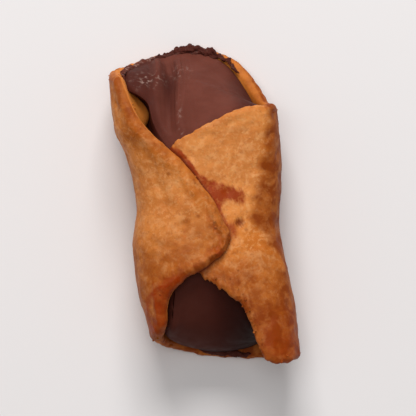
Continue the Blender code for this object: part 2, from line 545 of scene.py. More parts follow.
@dataclass(frozen=True)
class CreamFinish:
    """Set cocoa cream: soft uneven gloss, with painted shade and deeper painted shade in its colour."""

    warm: Colour = (0.140, 0.040, 0.027)
    deep: Colour = (0.095, 0.025, 0.016)
    shaded: Colour = (0.051, 0.0115, 0.0080)
    gloomy: Colour = (0.010, 0.003, 0.002)
    bloom: Colour = (0.36, 0.24, 0.20)
    roughness: tuple[float, float] = (0.45, 0.68)
    bump: float = 0.12
    bump_depth: float = 0.15

    def material(self, effects: SharedEffects) -> Material:
        """Builds the material from the cream's own attributes and the shared effects.

        Args:
            effects: The shader groups.

        Returns:
            The material.
        """
        skin = SkinTree("cocoa_cream", effects)
        colour = skin.mix(skin.share(skin.blotch(5.0, 0.35, 0.65), 0.45), self.warm, self.deep)
        colour = skin.mix(skin.named("shade"), colour, self.shaded)
        # Deeper painted shade on the lower end's right side and underneath near the floor.
        colour = skin.mix(skin.named("gloom"), colour, self.gloomy)
        dusty = skin.math("MULTIPLY", skin.named("bloom"), skin.blotch(1.3, 0.52, 0.66))
        inputs = skin.shader.inputs
        skin.feed(inputs["Base Color"], skin.mix(dusty, colour, self.bloom))

        gloss = skin.spread(skin.blotch(3.5, 0.3, 0.7), 0.0, 1.0, *self.roughness)
        skin.feed(inputs["Roughness"], skin.math("ADD", gloss, skin.share(dusty, 0.3)))
        skin.roughen(0.9, 1.2, self.bump, self.bump_depth)
        inputs["Specular IOR Level"].default_value = 0.03
        inputs["Subsurface Weight"].default_value = 0.08
        inputs["Subsurface Scale"].default_value = 1.5 * MM
        return skin.material


@dataclass(frozen=True)
class Relief:
    """How rough a surface is: the size across and the height of each of its layers, in mm."""

    lump_size: float
    lump_height: float
    blister_size: float
    blister_height: float
    grain_size: float
    grain_height: float
    seed: float


def socket_name(field_name: str) -> str:
    """The name that a tree's socket has for one of Relief's fields."""
    return field_name.replace("_", " ").title()


class ReliefTree:
    """The geometry tree that raises lumps, blisters and grain on a fine mesh."""

    def __init__(self) -> None:
        """Builds the tree once, for every piece that uses it."""
        sizes = {socket_name(item.name): 0.0 for item in fields(Relief)}
        inputs = {"Geometry": GEOMETRY, **sizes, "Material": MATERIAL}
        outputs = {"Geometry": GEOMETRY}
        build, given, results = new_group("relief", "GeometryNodeTree", inputs, outputs)
        build.tree.is_modifier = True
        self.tree = build.tree
        place = build.add("GeometryNodeInputPosition").outputs[0]
        shift = build.add("ShaderNodeCombineXYZ", {0: given["Seed"]}).outputs[0]
        moved = build.add("ShaderNodeVectorMath", {0: place, 1: shift}, operation="ADD").outputs[0]

        def layer(name: str, detail: float) -> Socket:
            """One layer of noise, in metres of height about the surface.

            Args:
                name: Which of the layers.
                detail: How fine its noise is.

            Returns:
                The height.
            """
            pace = build.math("DIVIDE", 1 / MM, given[f"{name} Size"])
            noise = build.noise(moved, pace, detail, 0.55).outputs[0]
            tall = build.math("MULTIPLY", given[f"{name} Height"], 2 * MM)
            return build.math("MULTIPLY", build.math("SUBTRACT", noise, 0.5), tall)

        pace = build.math("DIVIDE", 1 / MM, given["Blister Size"])
        values = {"Vector": moved, "Scale": pace, "Smoothness": 0.4}
        cells = build.add("ShaderNodeTexVoronoi", values, feature="SMOOTH_F1")
        dome = build.math("POWER", build.spread(cells.outputs["Distance"], 0.42, 0.05), 0.8)
        tall = build.math("MULTIPLY", given["Blister Height"], MM)
        height = build.math("ADD", layer("Lump", 2.0), layer("Grain", 3.0))
        height = build.math("ADD", height, build.math("MULTIPLY", dome, tall))
        height = build.math("MULTIPLY", height, build.named("relief"))
        offset = build.scaled(build.add("GeometryNodeInputNormal").outputs[0], height)
        values = {"Geometry": given["Geometry"], "Offset": offset}
        risen = build.add("GeometryNodeSetPosition", values).outputs[0]
        build.dress(risen, given["Material"], results["Geometry"])

    def raised(self, name: str, mesh: Mesh, relief: Relief, material: Material) -> Piece:
        """Runs the tree on a mesh.

        Args:
            name: The piece's name.
            mesh: Its smooth skin.
            relief: How rough it becomes.
            material: Its finish.

        Returns:
            The piece.
        """
        values = {socket_name(key): value for key, value in asdict(relief).items()}
        values["Seed"] = relief.seed * MM
        return grown(name, mesh, self.tree, values | {"Material": material})


class ScatterTree:
    """The geometry tree that strews ragged crumbs where a surface asks for them."""

    def __init__(self) -> None:
        """Builds the tree once, for every kind of crumb."""
        sizes = {"Density": 1.0, "Least Size": 0.2, "Largest Size": 0.6, "Seed": 1}
        inputs = {"Geometry": GEOMETRY, **sizes, "Material": MATERIAL}
        outputs = {"Geometry": GEOMETRY}
        build, given, results = new_group("crumb_scatter", "GeometryNodeTree", inputs, outputs)
        build.tree.is_modifier = True
        self.tree = build.tree
        per_area = build.math("DIVIDE", given["Density"], MM * MM)
        density = build.math("MULTIPLY", per_area, build.named("crumbs"))
        values = {"Mesh": given["Geometry"], "Density": density, "Seed": given["Seed"]}
        spots = build.add("GeometryNodeDistributePointsOnFaces", values)
        crumb = build.add("GeometryNodeMeshIcoSphere", {"Radius": 0.5, "Subdivisions": 2})

        def drawn(kind: str, low: object, high: object) -> Socket:
            """A random value for each crumb.

            Args:
                kind: FLOAT or FLOAT_VECTOR.
                low: The least value.
                high: The largest one.

            Returns:
                The value.
            """
            first = 2 if kind == "FLOAT" else 0
            values = {first: low, first + 1: high, "Seed": given["Seed"]}
            return build.add("FunctionNodeRandomValue", values, data_type=kind).outputs[first // 2]

        turned = drawn("FLOAT_VECTOR", (0.0,) * 3, (2 * math.pi,) * 3)
        squashed = drawn("FLOAT_VECTOR", (0.7, 0.5, 0.3), (1.4, 1.0, 0.6))
        rare = build.math("POWER", drawn("FLOAT", 0.0, 1.0), 2.5)
        spread = build.math("SUBTRACT", given["Largest Size"], given["Least Size"])
        size = build.math("MULTIPLY_ADD", rare, spread, given["Least Size"])
        values = {
            "Points": spots.outputs["Points"],
            "Instance": crumb.outputs["Mesh"],
            "Scale": build.scaled(squashed, build.math("MULTIPLY", size, MM)),
            "Rotation": build.add("FunctionNodeEulerToRotation", {0: turned}).outputs[0],
        }
        placed = build.add("GeometryNodeInstanceOnPoints", values)
        whole = build.add("GeometryNodeRealizeInstances", {0: placed.outputs[0]}).outputs[0]
        place = build.add("GeometryNodeInputPosition").outputs[0]
        values = {0: build.noise(place, 2.2 / MM, 1.0).outputs["Color"], 1: (0.5,) * 3}
        centred = build.add("ShaderNodeVectorMath", values, operation="SUBTRACT").outputs[0]
        values = {"Geometry": whole, "Offset": build.scaled(centred, 0.7 * MM)}
        ragged = build.add("GeometryNodeSetPosition", values).outputs[0]
        build.dress(ragged, given["Material"], results["Geometry"])


def grown(name: str, mesh: Mesh, tree: NodeTree, values: dict) -> Piece:
    """Runs a geometry tree on a mesh and keeps its result as a plain piece.

    Args:
        name: The new piece's name.
        mesh: What the tree starts from. It is removed afterwards.
        tree: The geometry tree.
        values: The tree's inputs, by name.

    Returns:
        The piece, with no modifier left on it and nothing below the floor.
    """
    source = bpy.data.objects.new(f"{name}_source", mesh)
    bpy.context.scene.collection.objects.link(source)
    modifier = source.modifiers.new(tree.name, "NODES")
    modifier.node_group = tree
    for item in tree.interface.items_tree:
        if item.item_type == "SOCKET" and item.in_out == "INPUT" and item.name in values:
            modifier[item.identifier] = values[item.name]
    bpy.context.view_layer.update()
    graph = bpy.context.evaluated_depsgraph_get()
    result = bpy.data.meshes.new_from_object(source.evaluated_get(graph), depsgraph=graph)
    source.modifiers.remove(modifier)
    bpy.data.objects.remove(source)
    bpy.data.meshes.remove(mesh)
    result.name = name
    result.shade_smooth()
    points = np.empty(3 * len(result.vertices), np.float32)
    result.vertices.foreach_get("co", points)
    points[2::3] = np.maximum(points[2::3], 0.0)
    result.vertices.foreach_set("co", points)
    piece = bpy.data.objects.new(name, result)
    bpy.context.scene.collection.objects.link(piece)
    return piece


def hand_in(piece: Piece, slot: Slot, *nodes: str) -> Piece:
    """Puts a finished piece on the body, hides the CAD nodes it stands in for and reports it.

    Args:
        piece: The finished piece.
        slot: Its material slot. Not used.
        *nodes: The CAD nodes that it stands in for.

    Returns:
        The same piece.
    """
    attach(piece, BODY)
    if nodes:
        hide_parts(*nodes)
    LOG.info("%s: %d faces", piece.name, len(piece.data.polygons))
    return piece


@dataclass
class Roll:
    """The roll's outside: a squarish tube that swells towards both ends, in mm."""

    stations: Points = (
        (-34.0, -15.2, 17.2, 29.0), (-26.0, -15.8, 17.4, 28.8), (-18.0, -17.1, 17.0, 28.2),
        (-8.0, -16.8, 16.4, 27.0), (2.0, -14.6, 18.3, 26.8), (12.0, -15.4, 19.4, 28.0),
        (20.0, -17.3, 19.6, 29.2), (34.0, -16.8, 19.4, 29.6),
    )
    squareness: float = 2.35
    sink: float = 0.6
    centre: tuple[float, float] = (1.165, -1.36)
    ridge_turn: float = 124.0
    ridge_width: float = 20.0
    ridge_height: float = 1.1

    def section(self, along: Array) -> tuple[Array, Array, Array]:
        """The middle, half width and half height at places along the roll."""
        left, right, top = (curve(self.stations, along, k) for k in (1, 2, 3))
        return (left + right) / 2, (right - left) / 2, top / 2

    def place(self, side: Array, along: Array, up: Array) -> Array:
        """Points from the roll's middle line and floor, put where the frame has them."""
        up = np.maximum(up - self.sink, 0.0)
        return np.stack([side - self.centre[0], along - self.centre[1], up], axis=-1)

    def point(self, turn: Array, along: Array, depth: Array) -> Array:
        """The points that lie depth below the roll's outside.

        Args:
            turn: The places round the roll.
            along: The places along it.
            depth: How far below the outside they lie.

        Returns:
            The points, in mm.
        """
        middle, half_width, half_height = self.section(along)
        side, up = np.sin(np.radians(turn)), -np.cos(np.radians(turn))
        power = self.squareness
        reach = (np.abs(side) ** power + np.abs(up) ** power) ** (-1 / power)
        depth = depth - self.ridge_height * hump(turn, self.ridge_turn, self.ridge_width)
        return self.place(
            middle + (half_width - depth) * reach * side,
            along,
            half_height + (half_height - depth) * reach * up,
        )


@dataclass
class DoughSheet:
    """The sheet of fried dough, rolled up with its left flap lapped over its right one."""

    roll: Roll
    wall: float = 2.8
    layer_gap: float = 0.35
    top_edge: Points = (
        (-198.5, -7.1), (-194.0, -5.0), (-186.5, -1.5), (-176.0, 3.5), (-162.0, 10.3),
        (-150.0, 15.4), (-143.0, 19.2), (-137.0, 22.8), (-131.0, 27.0), (-123.0, 30.6),
        (-95.0, 32.0), (-60.0, 33.2), (-28.0, 34.8), (5.0, 35.5), (33.0, 32.4), (47.0, 28.4),
        (58.0, 23.8), (70.0, 20.8), (92.0, 19.6), (120.0, 20.0), (140.0, 20.0), (156.0, 18.9),
        (184.0, 16.1), (204.0, 13.7), (232.0, 4.5),
    )
    bottom_edge: Points = (
        (-198.5, -8.9), (-193.0, -11.4), (-183.0, -13.4), (-169.0, -15.4), (-160.0, -16.6),
        (-149.0, -19.1), (-140.5, -22.6), (-134.0, -26.4), (-124.0, -28.7), (-105.0, -29.4),
        (-80.0, -30.2), (-50.0, -32.2), (-16.0, -35.2), (39.0, -37.4), (100.0, -37.7),
        (138.0, -38.1), (146.0, -36.7), (152.5, -32.8), (155.5, -28.5), (162.0, -23.3),
        (175.0, -19.5), (190.5, -15.8), (215.0, -8.0), (232.0, -1.0),
    )
    climb: tuple[float, float] = (-92.0, -138.0)
    left_pressed: tuple[float, float] = (-150.0, -200.0)
    right_pressed: tuple[float, float] = (120.0, 168.0)
    pressed_share: float = 0.42
    rim_radius: float = 1.3
    arc_per_degree: float = 0.26
    pore_place: tuple[float, float] = (152.3, -5.5)
    pore_radius: float = 1.2
    flank: Points = (
        (-38.0, 148.0), (-31.0, 142.0), (-24.0, 131.0), (-17.0, 119.0), (-9.4, 135.0),
        (-2.8, 144.0), (2.6, 140.0), (10.0, 134.0), (17.0, 127.0), (24.0, 114.0),
    )
    wedge: Points = (
        (148.5, 0.3, -0.5), (151.5, 1.2, -1.5), (158.0, 2.1, -0.8), (164.0, 3.0, -0.3),
        (168.5, 3.7, -1.5), (173.5, 4.3, -5.0), (181.0, 5.2, -9.0), (188.0, 7.2, -12.0),
        (192.0, 9.4, -12.0), (196.0, 11.4, -12.0), (206.0, 13.0, -12.0),
    )
    curl: Points = ((-28.0, -120.0), (-23.4, -123.0), (-19.8, -131.0), (-17.6, -144.0), (-16.5, -158.0))
    spots: Points = (
        (126.0, 4.5, 0.9, 0.7), (152.3, -5.5, 0.8, 0.9), (-184.0, -5.6, 0.6, 0.6),
        (-165.0, -3.6, 0.8, 0.35), (-165.0, -5.6, 0.7, 0.35), (148.0, -18.5, 0.7, 0.5),
    )
    columns: int = 330
    rows: int = 140
    relief: Relief = field(default_factory=lambda: Relief(6.0, 0.4, 3.0, 0.2, 0.9, 0.11, seed=3.0))

    def edge(self, end: End, turn: Array) -> Array:
        """How far along an end's edge lies, with its small torn steps.

        Args:
            end: Which end.
            turn: The places round the roll.

        Returns:
            The edge's place along the roll.
        """
        if end is End.TOP:
            return curve(self.top_edge, turn) + 0.16 * wander(turn, 17.0, seed=11)
        torn = smooth_step(turn, 142.0, 150.0) * smooth_step(turn, 205.0, 190.0)
        tear = 0.55 * wander(turn, 11.0, seed=5) * torn
        return curve(self.bottom_edge, turn) + tear + 0.16 * wander(turn, 17.0, seed=12)

    def thickness_share(self, turn: Array) -> Array:
        """The wall's share of its full thickness, which falls towards both flaps' tips."""
        pressed = smooth_step(turn, *self.left_pressed) + smooth_step(turn, *self.right_pressed)
        return 1 - self.pressed_share * pressed

    def middle_depth(self, turn: Array) -> Array:
        """How deep the wall's middle lies, nested in the roll or lapped over the right flap.

        Args:
            turn: The places round the roll.

        Returns:
            The depth below the roll's outside.
        """
        half = self.wall * self.thickness_share(turn) / 2
        nested = self.wall - half
        lapped = self.wall * (1 - self.thickness_share(turn + 360)) - self.layer_gap - half
        return nested + (lapped - nested) * smooth_step(turn, *self.climb)

    def rim_distance(self, turn: Array, along: Array) -> Array:
        """How far points of the sheet lie from its nearest edge.

        Args:
            turn: The places round the roll.
            along: The places along it.

        Returns:
            The distance, in mm.
        """
        step = 0.5
        distances = []
        for end in End:
            rise = (self.edge(end, turn + step) - self.edge(end, turn - step)) / (2 * step)
            lean = np.sqrt(1 + (rise / self.arc_per_degree) ** 2)
            distances.append(np.abs(self.edge(end, turn) - along) / lean)
        distances.append((turn - self.top_edge[0][0]) * self.arc_per_degree)
        distances.append((self.top_edge[-1][0] - turn) * self.arc_per_degree)
        return np.min(distances, axis=0)

    def browning(self, turn: Array, along: Array, rim: Array) -> dict[str, Array]:
        """Where the dough is toasted or glazed red-brown, and where painted shade and a painted shadow
        darken it.

        Args:
            turn: The places round the roll.
            along: The places along it.
            rim: How far each place lies from the nearest edge.

        Returns:
            The toasted brown with its painted shade, and the red-brown glazing with its painted shadow,
            each from 0 to 1.
        """
        left = smooth_step(turn, -90.0, -115.0)
        right = smooth_step(turn, 40.0, 80.0)
        toast = 0.35 * hump(rim, 0.3, 1.1)
        bend = curve(self.flank, along) + 2.5 * wander(along, 7.0, seed=17)
        # Darker along the right flank: partly toasted brown, partly painted shade where the flank turns
        # from the lamp.
        toast = toast + 1.05 * right * smooth_step(turn - bend, 5.0, -5.0)
        # Painted shade: the right flap darker towards its lower end and at its lower corner.
        toast = toast + 0.72 * right * smooth_step(along, -9.0, -19.0)
        toast = toast + 0.8 * right * smooth_step(along, -21.0, -33.0) * smooth_step(turn, 160.0, 142.0)
        # Painted shadow along the left flap's lower rim, and painted shade darkening the left flap towards
        # its lower end.
        low_rim = hump(rim, 0.6, 1.6) * smooth_step(along, -11.0, -16.0) * smooth_step(turn, -176.0, -163.0)
        toast = toast + left * (0.95 * low_rim + 0.15 + 0.5 * smooth_step(along, 0.0, -12.0))
        toast = toast + 0.30 * left * smooth_step(rim, 4.6, 3.2) * smooth_step(along, 12.0, 16.0)
        # Darker underneath and up the lower sides.
        toast = toast + 0.35 * smooth_step(np.abs(turn - 10.0), 100.0, 70.0)
        for spot_turn, spot_along, width, strength in self.spots:
            across = (turn - spot_turn) * self.arc_per_degree
            toast = toast + strength * hump(np.hypot(across, along - spot_along), 0.0, width)
        return {"toast": np.clip(toast, 0.0, 1.0), "glaze": self.glaze(turn, along, rim)}

    def glaze(self, turn: Array, along: Array, rim: Array) -> Array:
        """The red-brown wedge on the right flap, the groove inside the left flap's tip, and a painted
        shadow along the left flap's lower rim.

        Args:
            turn: The places round the roll.
            along: The places along it.
            rim: How far each place lies from the sheet's nearest edge.

        Returns:
            How strong the red-brown is, from 0 to 1.
        """
        ragged = 0.25 * wander(turn, 8.0, seed=23) + 0.2 * wander(along, 2.6, seed=29)
        above = along - curve(self.wedge, turn, 1) - ragged
        below = along - curve(self.wedge, turn, 2) - ragged
        wedge = smooth_step(above, 0.4, -0.5) * smooth_step(below, -0.5, 0.5)
        wedge = wedge * smooth_step(turn, 148.5, 151.5) * smooth_step(turn, 206.0, 200.0)
        cover = self.cover(turn, along) + 0.4 * ragged
        seam = 0.8 * smooth_step(cover, -2.2, -1.3) * smooth_step(along, -9.5, -8.0)
        wedge = np.maximum(wedge, seam * smooth_step(along, 13.5, 12.5))
        left = smooth_step(turn, -90.0, -115.0)
        bent = left * smooth_step(along, -29.0, -26.0) * smooth_step(along, -14.5, -16.5)
        fold = 0.7 * hump(turn, curve(self.curl, along), 4.0) * bent
        corner = smooth_step(turn, 90.0, 110.0) * smooth_step(turn, 160.0, 142.0)
        fold = fold + 0.4 * corner * smooth_step(along, -22.0, -32.0)
        # Painted shadow: a dark red-brown fringe along the left flap's lower rim.
        edge = 0.8 * hump(rim, 0.9, 1.5) * bent * smooth_step(turn, -175.0, -165.0)
        tip = smooth_step(turn, -170.0, -184.0)
        groove = 0.4 * tip * hump(rim, 2.1, 0.5) * smooth_step(along, 1.0, -3.0)
        pocket = 0.9 * hump(turn, -188.5, 3.0) * hump(along, -11.9, 0.9)
        return np.clip(wedge + fold + edge + groove + pocket, 0.0, 1.0)

    def cover(self, turn: Array, along: Array) -> Array:
        """How far under the left flap a place on the right flap lies, or less than 0 outside it.

        Args:
            turn: The places round the roll.
            along: The places along it.

        Returns:
            The distance from the left flap's edge, in mm.
        """
        above = turn - 360.0
        gap = np.minimum(self.edge(End.TOP, above) - along, along - self.edge(End.BOTTOM, above))
        return np.minimum(gap, (above - self.top_edge[0][0]) * self.arc_per_degree)

    def creases(self, turn: Array, along: Array) -> Array:
        """The painted shade on the right flap along the left flap's lapped edge."""
        return smooth_step(self.cover(turn, along), -0.95, 0.15)

    def puckers(self, turn: Array, along: Array, rim: Array) -> Array:
        """Extra height of the outside: the lapped edge's bead and groove, a dent and folds.

        Args:
            turn: The places round the roll.
            along: The places along it.
            rim: How far each place lies from the nearest edge.

        Returns:
            The extra height, in mm.
        """
        near_tip = smooth_step(turn, -172.0, -186.0)
        groove = -0.4 * near_tip * hump(rim, 2.1, 0.55)
        lip = 0.3 * near_tip * hump(rim, 1.0, 0.6)
        dent = -0.75 * hump(turn, -165.0, 3.0) * hump(along, -4.6, 3.0)
        fold = -0.35 * hump(turn, -150.0 + 0.9 * along, 5.0) * hump(along, 3.0, 9.0)
        swell = 0.35 * hump(turn, -140.0, 16.0) * hump(along, -7.0, 8.0)
        slack = 0.3 * hump(turn - 1.2 * along, 140.0, 10.0) * hump(along, -14.0, 10.0)
        return groove + lip + dent + fold + swell + slack - 0.5 * self.pore(turn, along)

    def pore(self, turn: Array, along: Array) -> Array:
        """The one large pore in the right flap.

        Args:
            turn: The places round the roll.
            along: The places along it.

        Returns:
            How deep in the pore each place is, from 0 to 1.
        """
        across = (turn - self.pore_place[0]) * self.arc_per_degree
        reach = np.hypot(across, 1.3 * (along - self.pore_place[1]))
        return smooth_step(reach, self.pore_radius, 0.45)

    def build(self, relief_tree: ReliefTree, material: Material) -> Piece:
        """Makes the sheet's closed skin, then raises its relief.

        Args:
            relief_tree: The tree that raises lumps and grain.
            material: The dough's finish.

        Returns:
            The finished piece.
        """
        first, last = self.top_edge[0][0], self.top_edge[-1][0]
        turn = (first + (last - first) * crowded(self.columns, 0.55))[:, None]
        across = crowded(self.rows, 0.75)[None, :]
        low, high = self.edge(End.BOTTOM, turn), self.edge(End.TOP, turn)
        along = low + (high - low) * across
        turn = turn + np.zeros_like(along)
        rim = self.rim_distance(turn, along)
        share = np.clip(rim / self.rim_radius, 0.0, 1.0)
        half = self.wall * self.thickness_share(turn) / 2 * np.sqrt(1 - (1 - share) ** 2)
        depth = self.middle_depth(turn)
        lips = 0.35 * hump(rim, 1.6, 1.2) * smooth_step(turn, -120.0, -150.0)
        raised = half + (self.puckers(turn, along, rim) + lips) * share
        inner = 5.3 * hump(turn, -92.0, 27.0) * hump(along, 21.5, 5.8) * share
        over = self.roll.point(turn, along, depth - raised)
        under = self.roll.point(turn, along, depth + half + inner)
        values = self.looks(turn, along, rim, over[..., 2])
        mesh = closed_sheet("fried_dough_skin", over, under, values)
        return relief_tree.raised("fried_dough", mesh, self.relief, material)

    def looks(
        self, turn: Array, along: Array, rim: Array, height: Array
    ) -> dict[str, tuple[Array, Array]]:
        """Where the sheet is toasted, glazed red-brown, bare inside, rough or crumbly, and where light and
        shade are painted on it.

        Args:
            turn: The places round the roll.
            along: The places along it.
            rim: How far each place lies from the nearest edge.
            height: How high its outside lies above the floor.

        Returns:
            The values of each attribute on the outside and on the inside.
        """
        crease = self.creases(turn, along)
        open_face = 1 - smooth_step(crease, 0.75, 1.0)
        browned_and_shaded = self.browning(turn, along, rim)
        # Painted shade in the large pore, joined to that along the lapped edge.
        browned_and_shaded["crease"] = np.maximum(crease, 0.9 * self.pore(turn, along))
        values = {key: (value, value * 0.4) for key, value in browned_and_shaded.items()}
        toast = browned_and_shaded["toast"]
        # Inside: darker towards the lower end as painted shade, and towards the right side.
        low_end = smooth_step(along, -20.0, -28.0)
        inner_toast_and_shade = 0.3 * toast + 0.85 * low_end + 0.3 * smooth_step(turn, 10.0, 40.0)
        values["toast"] = (toast, np.clip(inner_toast_and_shade, 0.0, 1.0))
        # Painted light: paler on the right flap's front face; the left flap is also paler on a patch, not
        # on its inside.
        face = smooth_step(turn, 118.0, 142.0) * smooth_step(turn, 215.0, 195.0)
        left = smooth_step(turn, -108.0, -128.0) * smooth_step(along, -13.0, -4.0)
        left = left * smooth_step(along, 15.0, 7.0) * smooth_step(rim, 1.5, 4.0)
        pale = np.maximum(face * smooth_step(along, -9.0, 1.0), 0.9 * left)
        values["pale"] = (pale * (1 - toast), 0 * pale)
        values["inside"] = (0.5 * hump(rim, 0.0, 0.5), np.ones_like(turn))
        values["relief"] = (open_face * smooth_step(height, 0.0, 0.8), 0.35 * np.ones_like(turn))
        torn = smooth_step(turn, 140.0, 150.0) * smooth_step(along, -12.0, -18.0)
        seam = smooth_step(turn, -160.0, -185.0)
        near = hump(rim, 0.6, 1.2)
        sparse = near * (0.06 + 0.6 * torn + 0.15 * seam) * open_face
        values["crumbs"] = (sparse * smooth_step(height, 1.5, 3.0), 0.1 * near)
        return values


@dataclass
class CocoaCream:
    """The cream that fills the roll: a smooth dome at each end, torn away at the top left."""

    dough: DoughSheet
    gap: float = 0.15
    top_recess: float = 0.3
    bottom_recess: float = 0.9
    top_bulge: float = 2.6
    bottom_bulge: float = 3.2
    dip_turn: float = -120.0
    dip_width: float = 26.0
    dip_depth: float = 3.2
    right_turn: float = 62.0
    right_width: float = 26.0
    right_depth: float = 2.2
    hollow_turn: float = -100.0
    hollow_width: float = 38.0
    hollow_depth: float = 5.7
    hollow_from: float = 9.0
    hollow_to: float = 19.0
    hollow_end: float = 28.5
    corner_turn: float = 85.0
    corner_width: float = 55.0
    corner_depth: float = 6.5
    waves: int = 9
    segments: int = 260
    end_rings: int = 64
    side_rings: int = 34
    samples: int = 360
    shoulder: float = 1.4
    relief: Relief = field(default_factory=lambda: Relief(7.0, 0.16, 5.0, 0.0, 1.6, 0.03, seed=21.0))

    def opening(self, end: End, turn: Array) -> Array:
        """How far along the opening's edge lies, on the outermost layer at each turn.

        Args:
            end: Which end.
            turn: The places round the roll.

        Returns:
            The edge's place along the roll.
        """
        first, last = self.dough.top_edge[0][0], self.dough.top_edge[-1][0]
        layers = []
        for shift in (-360.0, 0.0, 360.0):
            here = turn + shift
            inside = (here >= first) & (here <= last)
            points = self.dough.top_edge if end is End.TOP else self.dough.bottom_edge
            layers.append(np.where(inside, end.value * curve(points, here), -1e3))
        return end.value * np.max(layers, axis=0)

    def edge(self, end: End, turn: Array) -> Array:
        """How far along the cream meets the wall.

        Args:
            end: Which end.
            turn: The places round the roll.

        Returns:
            The place along the roll.
        """
        if end is End.TOP:
            dip = self.dip_depth * hump(turn, self.dip_turn, self.dip_width)
            dip = dip + self.right_depth * hump(turn, self.right_turn, self.right_width)
            return self.opening(end, turn) - self.top_recess - dip
        corner = self.corner_depth * hump(turn, self.corner_turn, self.corner_width)
        return self.opening(end, turn) + self.bottom_recess + corner

    def film(self, end: End, radius: Array, turn: Array) -> Array:
        """The end surface, stretched over its edge like a film and then bulged.

        Each wave of the edge dies out towards the middle by its own power of the radius.

        Args:
            end: Which end.
            radius: The share of the way from the middle to the wall.
            turn: The direction round the roll.

        Returns:
            How far along the surface lies.
        """
        around = np.linspace(0.0, 360.0, self.samples, endpoint=False)
        edge = self.edge(end, (around + 180.0) % 360.0 - 180.0)
        parts = np.fft.rfft(edge)[: self.waves + 1] / self.samples
        bulge = self.top_bulge if end is End.TOP else self.bottom_bulge
        total = parts[0].real + end.value * bulge * (1 - radius**2)
        for k in range(1, len(parts)):
            wave = parts[k] * np.exp(1j * k * np.radians(turn))
            total = total + 2 * wave.real * radius**k
        return total

    def side(self, turn: Array, along: Array) -> Array:
        """The cream's side against the wall, pulled away at the top left.

        Args:
            turn: The places round the roll.
            along: The places along it.

        Returns:
            The side's points, in mm.
        """
        hollow = self.hollow_depth * hump(turn, self.hollow_turn, self.hollow_width)
        hollow = hollow * smooth_step(along, self.hollow_from, self.hollow_to)
        hollow = hollow * smooth_step(along, self.hollow_end, self.hollow_to + 4.0)
        return self.dough.roll.point(turn, along, self.dough.wall + self.gap + hollow)

    def folds(self, points: Array) -> Array:
        """How far the top's streaks stand out, where a spatula dragged the cream.

        Args:
            points: The end surface's points.

        Returns:
            The height, in mm.
        """
        across, up = points[..., 0], points[..., 2]
        line = across + 0.10 * (up - 14.0) + 0.35 * np.sin(up * 0.35)
        valley = -1.7 * hump(line, -4.9, 1.5)
        ridges = 1.0 * hump(line, -7.4, 1.0) - 0.4 * hump(line, -9.2, 0.5)
        ridges = ridges + 0.45 * hump(line, -2.7, 0.7) - 0.25 * hump(line, -1.6, 0.45)
        streaks = 0.10 * np.sin(line * 7.0 + 1.2 * np.sin(up * 0.5)) * hump(line, -4.2, 3.4)
        fade = smooth_step(up, 3.0, 8.0)
        dome = 0.6 * hump(across, 4.5, 5.5) * hump(up, 16.0, 9.0)
        return (valley + ridges + streaks) * fade + dome

    def build(self, relief_tree: ReliefTree, material: Material) -> Piece:
        """Makes the cream's closed skin, ring by ring from the top's middle to the bottom's.

        Args:
            relief_tree: The tree that raises its soft lumps.
            material: The cream's finish.

        Returns:
            The finished piece.
        """
        turn = np.linspace(-180.0, 180.0, self.segments, endpoint=False)[:, None]
        radius = np.sin(np.linspace(0.0, math.pi / 2, self.end_rings))[None, 1:]
        rounding = self.shoulder * (1 - np.sqrt(1 - smooth_step(radius, 0.86, 1.0) ** 2 * 0.98))
        rings = {}
        for end in End:
            along = self.film(end, radius, turn) - end.value * rounding
            rim = self.side(turn + np.zeros_like(along), along)
            middle, _, half_height = self.dough.roll.section(along)
            core = self.dough.roll.place(middle, along, half_height)
            ring = core + (rim - core) * radius[..., None]
            if end is End.TOP:
                ring[..., 1] += self.folds(ring) * smooth_step(radius, 1.0, 0.8)
            rings[end] = ring
        share = np.linspace(0.0, 1.0, self.side_rings + 2)[None, 1:-1]
        top_rim = self.film(End.TOP, 1.0, turn) - self.shoulder * 0.86
        bottom_rim = self.film(End.BOTTOM, 1.0, turn) + self.shoulder * 0.86
        along = top_rim + (bottom_rim - top_rim) * share
        sides = self.side(turn + np.zeros_like(along), along)
        wall = np.concatenate([rings[End.TOP], sides, rings[End.BOTTOM][:, ::-1]], axis=1)
        poles = [rings[end][:, 0].mean(axis=0) for end in End]

        columns, rows = wall.shape[:2]
        index = np.arange(columns * rows).reshape(columns, rows)
        index = np.concatenate([index, index[:1]])
        faces = grid_faces(columns + 1, rows, index).tolist()
        for pole, row, order in ((0, 0, (0, 1)), (1, rows - 1, (1, 0))):
            near = index[:, row].tolist()
            for k in range(columns):
                pair = (near[k + order[0]], near[k + order[1]])
                faces.append([columns * rows + pole, pair[1], pair[0]])
        points = np.concatenate([wall.reshape(-1, 3), np.array(poles)])
        mesh = new_mesh("cocoa_cream_skin", points, faces, self.looks(points))
        return relief_tree.raised("cocoa_cream_filling", mesh, self.relief, material)

    def looks(self, points: Array) -> dict[str, Array]:
        """Where the cream has painted shade and deeper painted shade, is dusted with bloom or is crumbly.

        Args:
            points: The cream's points, in mm.

        Returns:
            The value of each attribute at each point.
        """
        across, along, up = points.T
        top = smooth_step(along, 8.0, 12.0)
        line = across + 0.10 * (up - 14.0)
        shade = smooth_step(along, 10.0, -12.0) * (1 - 0.3 * smooth_step(across, 2.0, -8.0))
        shade = shade + 0.9 * top * hump(line, -4.9, 1.8) * hump(up, 15.0, 5.5)
        shade = shade + 0.75 * top * smooth_step(across, -6.0, -10.0)
        shade = shade + 0.8 * top * smooth_step(across, 7.0, 12.5)
